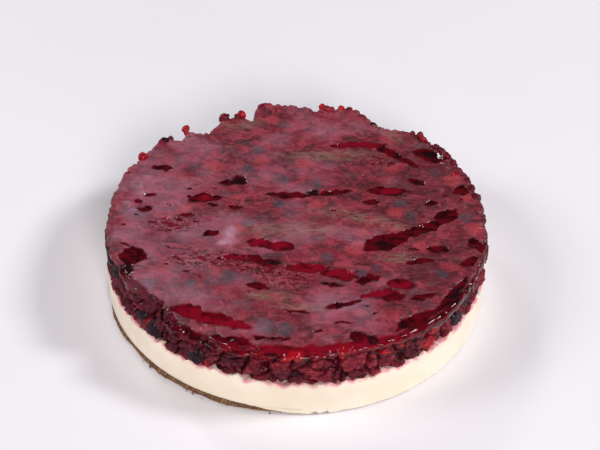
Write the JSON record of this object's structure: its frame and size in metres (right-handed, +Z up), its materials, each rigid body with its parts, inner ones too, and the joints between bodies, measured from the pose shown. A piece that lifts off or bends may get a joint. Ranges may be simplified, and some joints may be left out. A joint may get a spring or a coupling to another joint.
{
  "type": "berry cheesecake",
  "caption": "Whole round no-bake cheesecake: biscuit crumb base, cream cheese layer and a set layer of mixed berries with a smooth jellied top.",
  "frame": {"origin": "centre of the cake's underside, on the surface it stands on", "axes": "+Z up through the layers; the cake's front in the picture faces -Y, with +X to its right"},
  "size_m": [0.24, 0.24, 0.052],
  "materials": {
    "biscuit": "dry, crumbly, no shine",
    "cream": "smooth, soft satin",
    "berries": "wet gloss on top, dull where pressed against the tin"
  },
  "bodies": {
    "root": {"biscuit_base": "biscuit", "cream_layer": "cream", "berry_topping": "berries"}
  },
  "joints": []
}
